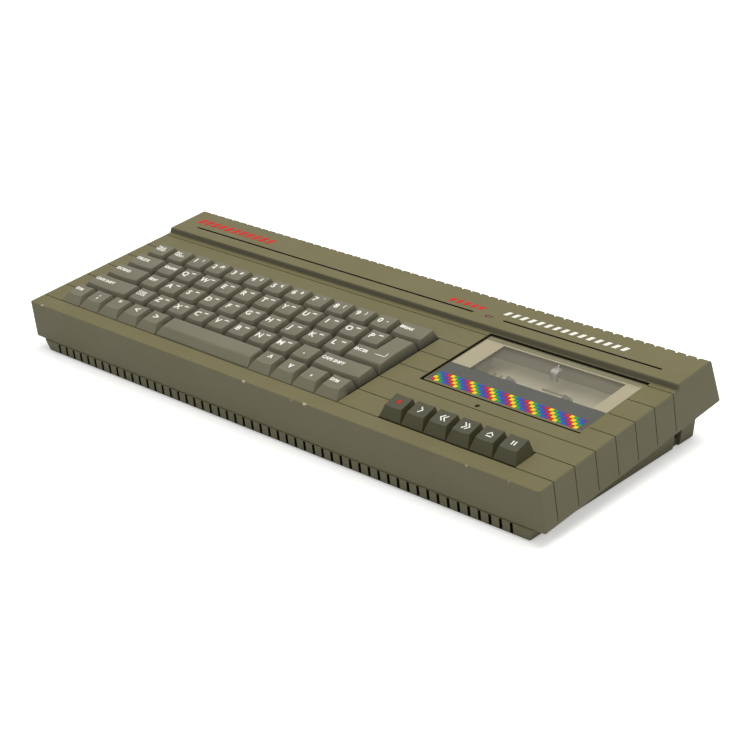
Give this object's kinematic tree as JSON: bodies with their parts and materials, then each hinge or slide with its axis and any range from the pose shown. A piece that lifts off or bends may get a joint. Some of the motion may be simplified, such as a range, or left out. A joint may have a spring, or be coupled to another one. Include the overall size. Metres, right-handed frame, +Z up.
{
  "type": "home computer with cassette deck",
  "caption": "Slab-shaped home computer with sculpted keys, a ribbed rear edge and a built-in cassette deck with piano keys under a hinged clear lid.",
  "frame": {"origin": "middle of the footprint, on the surface the feet stand on", "axes": "+X to the right along the keyboard, +Y to the rear, +Z up"},
  "size_m": [0.44, 0.1721, 0.0533],
  "materials": {
    "olive_plastic": "moulded ABS, olive grey, finely textured",
    "grey_key_plastic": "moulded key plastic, grey, satin",
    "dark_key_plastic": "moulded key plastic, dark grey, satin",
    "black_rubber": "black rubber",
    "green_circuit_board": "green solder-masked glass epoxy",
    "zinc_plated_steel": "zinc-plated sheet steel",
    "turned_brass": "turned brass",
    "clear_acrylic": "clear acrylic, polished",
    "red_lens": "red light lens, glossy",
    "white_nylon": "white nylon"
  },
  "bodies": {
    "case": {"upper_case": "olive_plastic", "lower_case": "olive_plastic", "keyboard_frame": "grey_key_plastic", "key_mat": "black_rubber", "main_board": "green_circuit_board", "tv_modulator": "zinc_plated_steel", "deck_chassis": "zinc_plated_steel", "deck_motor": "zinc_plated_steel", "drive_belt": "black_rubber", "deck_key_shaft": "zinc_plated_steel", "power_led": "red_lens"},
    "lid": {"cassette_lid": "olive_plastic", "lid_window": "clear_acrylic", "lid_spring": "zinc_plated_steel"},
    "deck_key_record_body": {"deck_key_record": "dark_key_plastic"},
    "deck_key_play_body": {"deck_key_play": "dark_key_plastic"},
    "deck_key_rewind_body": {"deck_key_rewind": "dark_key_plastic"},
    "deck_key_forward_body": {"deck_key_forward": "dark_key_plastic"},
    "deck_key_stop_body": {"deck_key_stop": "dark_key_plastic"},
    "deck_key_pause_body": {"deck_key_pause": "dark_key_plastic"},
    "head_bridge_body": {"head_bridge": "zinc_plated_steel"},
    "pinch_roller_body": {"pinch_roller": "black_rubber"},
    "flywheel_body": {"flywheel": "turned_brass"},
    "motor_pulley_body": {"motor_pulley": "turned_brass"},
    "supply_spindle_body": {"supply_spindle": "white_nylon"},
    "takeup_spindle_body": {"takeup_spindle": "white_nylon"},
    "reset_button_body": {"reset_button": "dark_key_plastic"},
    "key_extend_body": {"key_extend": "grey_key_plastic"},
    "key_edit_body": {"key_edit": "grey_key_plastic"},
    "key_a_body": {"key_a": "grey_key_plastic"},
    "key_s_body": {"key_s": "grey_key_plastic"},
    "key_d_body": {"key_d": "grey_key_plastic"},
    "key_f_body": {"key_f": "grey_key_plastic"},
    "key_g_body": {"key_g": "grey_key_plastic"},
    "key_h_body": {"key_h": "grey_key_plastic"},
    "key_j_body": {"key_j": "grey_key_plastic"},
    "key_k_body": {"key_k": "grey_key_plastic"},
    "key_l_body": {"key_l": "grey_key_plastic"},
    "key_enter_body": {"key_enter": "grey_key_plastic"},
    "key_shift_left_body": {"key_shift_left": "grey_key_plastic"},
    "key_lock_body": {"key_lock": "grey_key_plastic"},
    "key_z_body": {"key_z": "grey_key_plastic"},
    "key_x_body": {"key_x": "grey_key_plastic"},
    "key_c_body": {"key_c": "grey_key_plastic"},
    "key_v_body": {"key_v": "grey_key_plastic"},
    "key_b_body": {"key_b": "grey_key_plastic"},
    "key_n_body": {"key_n": "grey_key_plastic"},
    "key_m_body": {"key_m": "grey_key_plastic"},
    "key_full_stop_body": {"key_full_stop": "grey_key_plastic"},
    "key_shift_right_body": {"key_shift_right": "grey_key_plastic"},
    "key_symbol_left_body": {"key_symbol_left": "grey_key_plastic"},
    "key_semicolon_body": {"key_semicolon": "grey_key_plastic"},
    "key_quote_body": {"key_quote": "grey_key_plastic"},
    "key_cursor_left_body": {"key_cursor_left": "grey_key_plastic"},
    "key_cursor_right_body": {"key_cursor_right": "grey_key_plastic"},
    "key_space_body": {"key_space": "grey_key_plastic"},
    "key_cursor_up_body": {"key_cursor_up": "grey_key_plastic"},
    "key_cursor_down_body": {"key_cursor_down": "grey_key_plastic"},
    "key_comma_body": {"key_comma": "grey_key_plastic"},
    "key_symbol_right_body": {"key_symbol_right": "grey_key_plastic"}
  },
  "joints": [
    {"name": "deck_key_record_hinge", "type": "hinge", "parent": "case", "child": "deck_key_record_body", "pos_m": [0.0916, -0.0438, 0.03379], "axis": [1, 0, 0], "range_deg": [0, 9], "stiffness_Nm_per_rad": 0.05, "springref_deg": -11.46},
    {"name": "deck_key_play_hinge", "type": "hinge", "parent": "case", "child": "deck_key_play_body", "pos_m": [0.0916, -0.0438, 0.03379], "axis": [1, 0, 0], "range_deg": [0, 9], "stiffness_Nm_per_rad": 0.05, "springref_deg": -11.46},
    {"name": "deck_key_rewind_hinge", "type": "hinge", "parent": "case", "child": "deck_key_rewind_body", "pos_m": [0.0916, -0.0438, 0.03379], "axis": [1, 0, 0], "range_deg": [0, 9], "stiffness_Nm_per_rad": 0.05, "springref_deg": -11.46},
    {"name": "deck_key_forward_hinge", "type": "hinge", "parent": "case", "child": "deck_key_forward_body", "pos_m": [0.0916, -0.0438, 0.03379], "axis": [1, 0, 0], "range_deg": [0, 9], "stiffness_Nm_per_rad": 0.05, "springref_deg": -11.46},
    {"name": "deck_key_stop_hinge", "type": "hinge", "parent": "case", "child": "deck_key_stop_body", "pos_m": [0.0916, -0.0438, 0.03379], "axis": [1, 0, 0], "range_deg": [0, 9], "stiffness_Nm_per_rad": 0.05, "springref_deg": -11.46},
    {"name": "deck_key_pause_hinge", "type": "hinge", "parent": "case", "child": "deck_key_pause_body", "pos_m": [0.0916, -0.0438, 0.03379], "axis": [1, 0, 0], "range_deg": [0, 9], "stiffness_Nm_per_rad": 0.05, "springref_deg": -11.46},
    {"name": "lid_hinge", "type": "hinge", "parent": "case", "child": "lid", "pos_m": [0.1418, 0.03464, 0.0415], "axis": [-1, 0, 0], "range_deg": [0, 50]},
    {"name": "head_bridge_slide", "type": "slide", "parent": "case", "child": "head_bridge_body", "axis": [0, 0.9968, 0.0802], "range_m": [0, 0.00151]},
    {"name": "pinch_roller_spin", "type": "hinge", "parent": "head_bridge_body", "child": "pinch_roller_body", "pos_m": [0.1718, -0.02522, 0.02967], "axis": [0, -0.0802, 0.9968], "continuous": true},
    {"name": "supply_spindle_spin", "type": "hinge", "parent": "case", "child": "supply_spindle_body", "pos_m": [0.12055, 0.01187, 0.03265], "axis": [0, -0.0802, 0.9968], "continuous": true},
    {"name": "takeup_spindle_spin", "type": "hinge", "parent": "case", "child": "takeup_spindle_body", "pos_m": [0.16305, 0.01187, 0.03265], "axis": [0, -0.0802, 0.9968], "continuous": true},
    {"name": "flywheel_spin", "type": "hinge", "parent": "case", "child": "flywheel_body", "pos_m": [0.1718, -0.01793, 0.03025], "axis": [0, -0.0802, 0.9968], "continuous": true},
    {"name": "motor_pulley_spin", "type": "hinge", "parent": "case", "child": "motor_pulley_body", "pos_m": [0.1853, 0.01646, 0.03302], "axis": [0, -0.0802, 0.9968], "continuous": true},
    {"name": "reset_button_press", "type": "slide", "parent": "case", "child": "reset_button_body", "axis": [1, 0, 0], "range_m": [0, 0.002], "stiffness_N_per_m": 200, "springref_m": -0.001},
    {"name": "key_extend_press", "type": "slide", "parent": "case", "child": "key_extend_body", "axis": [0, 0.0802, -0.9968], "range_m": [0, 0.004], "stiffness_N_per_m": 150, "springref_m": -0.002},
    {"name": "key_edit_press", "type": "slide", "parent": "case", "child": "key_edit_body", "axis": [0, 0.0802, -0.9968], "range_m": [0, 0.004], "stiffness_N_per_m": 150, "springref_m": -0.002},
    {"name": "key_a_press", "type": "slide", "parent": "case", "child": "key_a_body", "axis": [0, 0.0802, -0.9968], "range_m": [0, 0.004], "stiffness_N_per_m": 150, "springref_m": -0.002},
    {"name": "key_s_press", "type": "slide", "parent": "case", "child": "key_s_body", "axis": [0, 0.0802, -0.9968], "range_m": [0, 0.004], "stiffness_N_per_m": 150, "springref_m": -0.002},
    {"name": "key_d_press", "type": "slide", "parent": "case", "child": "key_d_body", "axis": [0, 0.0802, -0.9968], "range_m": [0, 0.004], "stiffness_N_per_m": 150, "springref_m": -0.002},
    {"name": "key_f_press", "type": "slide", "parent": "case", "child": "key_f_body", "axis": [0, 0.0802, -0.9968], "range_m": [0, 0.004], "stiffness_N_per_m": 150, "springref_m": -0.002},
    {"name": "key_g_press", "type": "slide", "parent": "case", "child": "key_g_body", "axis": [0, 0.0802, -0.9968], "range_m": [0, 0.004], "stiffness_N_per_m": 150, "springref_m": -0.002},
    {"name": "key_h_press", "type": "slide", "parent": "case", "child": "key_h_body", "axis": [0, 0.0802, -0.9968], "range_m": [0, 0.004], "stiffness_N_per_m": 150, "springref_m": -0.002},
    {"name": "key_j_press", "type": "slide", "parent": "case", "child": "key_j_body", "axis": [0, 0.0802, -0.9968], "range_m": [0, 0.004], "stiffness_N_per_m": 150, "springref_m": -0.002},
    {"name": "key_k_press", "type": "slide", "parent": "case", "child": "key_k_body", "axis": [0, 0.0802, -0.9968], "range_m": [0, 0.004], "stiffness_N_per_m": 150, "springref_m": -0.002},
    {"name": "key_l_press", "type": "slide", "parent": "case", "child": "key_l_body", "axis": [0, 0.0802, -0.9968], "range_m": [0, 0.004], "stiffness_N_per_m": 150, "springref_m": -0.002},
    {"name": "key_enter_press", "type": "slide", "parent": "case", "child": "key_enter_body", "axis": [0, 0.0802, -0.9968], "range_m": [0, 0.004], "stiffness_N_per_m": 150, "springref_m": -0.002},
    {"name": "key_shift_left_press", "type": "slide", "parent": "case", "child": "key_shift_left_body", "axis": [0, 0.0802, -0.9968], "range_m": [0, 0.004], "stiffness_N_per_m": 150, "springref_m": -0.002},
    {"name": "key_lock_press", "type": "slide", "parent": "case", "child": "key_lock_body", "axis": [0, 0.0802, -0.9968], "range_m": [0, 0.004], "stiffness_N_per_m": 150, "springref_m": -0.002},
    {"name": "key_z_press", "type": "slide", "parent": "case", "child": "key_z_body", "axis": [0, 0.0802, -0.9968], "range_m": [0, 0.004], "stiffness_N_per_m": 150, "springref_m": -0.002},
    {"name": "key_x_press", "type": "slide", "parent": "case", "child": "key_x_body", "axis": [0, 0.0802, -0.9968], "range_m": [0, 0.004], "stiffness_N_per_m": 150, "springref_m": -0.002},
    {"name": "key_c_press", "type": "slide", "parent": "case", "child": "key_c_body", "axis": [0, 0.0802, -0.9968], "range_m": [0, 0.004], "stiffness_N_per_m": 150, "springref_m": -0.002},
    {"name": "key_v_press", "type": "slide", "parent": "case", "child": "key_v_body", "axis": [0, 0.0802, -0.9968], "range_m": [0, 0.004], "stiffness_N_per_m": 150, "springref_m": -0.002},
    {"name": "key_b_press", "type": "slide", "parent": "case", "child": "key_b_body", "axis": [0, 0.0802, -0.9968], "range_m": [0, 0.004], "stiffness_N_per_m": 150, "springref_m": -0.002},
    {"name": "key_n_press", "type": "slide", "parent": "case", "child": "key_n_body", "axis": [0, 0.0802, -0.9968], "range_m": [0, 0.004], "stiffness_N_per_m": 150, "springref_m": -0.002},
    {"name": "key_m_press", "type": "slide", "parent": "case", "child": "key_m_body", "axis": [0, 0.0802, -0.9968], "range_m": [0, 0.004], "stiffness_N_per_m": 150, "springref_m": -0.002},
    {"name": "key_full_stop_press", "type": "slide", "parent": "case", "child": "key_full_stop_body", "axis": [0, 0.0802, -0.9968], "range_m": [0, 0.004], "stiffness_N_per_m": 150, "springref_m": -0.002},
    {"name": "key_shift_right_press", "type": "slide", "parent": "case", "child": "key_shift_right_body", "axis": [0, 0.0802, -0.9968], "range_m": [0, 0.004], "stiffness_N_per_m": 150, "springref_m": -0.002},
    {"name": "key_symbol_left_press", "type": "slide", "parent": "case", "child": "key_symbol_left_body", "axis": [0, 0.0802, -0.9968], "range_m": [0, 0.004], "stiffness_N_per_m": 150, "springref_m": -0.002},
    {"name": "key_semicolon_press", "type": "slide", "parent": "case", "child": "key_semicolon_body", "axis": [0, 0.0802, -0.9968], "range_m": [0, 0.004], "stiffness_N_per_m": 150, "springref_m": -0.002},
    {"name": "key_quote_press", "type": "slide", "parent": "case", "child": "key_quote_body", "axis": [0, 0.0802, -0.9968], "range_m": [0, 0.004], "stiffness_N_per_m": 150, "springref_m": -0.002},
    {"name": "key_cursor_left_press", "type": "slide", "parent": "case", "child": "key_cursor_left_body", "axis": [0, 0.0802, -0.9968], "range_m": [0, 0.004], "stiffness_N_per_m": 150, "springref_m": -0.002},
    {"name": "key_cursor_right_press", "type": "slide", "parent": "case", "child": "key_cursor_right_body", "axis": [0, 0.0802, -0.9968], "range_m": [0, 0.004], "stiffness_N_per_m": 150, "springref_m": -0.002},
    {"name": "key_space_press", "type": "slide", "parent": "case", "child": "key_space_body", "axis": [0, 0.0802, -0.9968], "range_m": [0, 0.004], "stiffness_N_per_m": 150, "springref_m": -0.002},
    {"name": "key_cursor_up_press", "type": "slide", "parent": "case", "child": "key_cursor_up_body", "axis": [0, 0.0802, -0.9968], "range_m": [0, 0.004], "stiffness_N_per_m": 150, "springref_m": -0.002},
    {"name": "key_cursor_down_press", "type": "slide", "parent": "case", "child": "key_cursor_down_body", "axis": [0, 0.0802, -0.9968], "range_m": [0, 0.004], "stiffness_N_per_m": 150, "springref_m": -0.002},
    {"name": "key_comma_press", "type": "slide", "parent": "case", "child": "key_comma_body", "axis": [0, 0.0802, -0.9968], "range_m": [0, 0.004], "stiffness_N_per_m": 150, "springref_m": -0.002},
    {"name": "key_symbol_right_press", "type": "slide", "parent": "case", "child": "key_symbol_right_body", "axis": [0, 0.0802, -0.9968], "range_m": [0, 0.004], "stiffness_N_per_m": 150, "springref_m": -0.002}
  ],
  "couplings": [
    {"joint": "deck_key_play_hinge", "follows": "head_bridge_slide", "rad_per_m": 104.17},
    {"joint": "motor_pulley_spin", "follows": "flywheel_spin", "ratio": 4.1667}
  ]
}
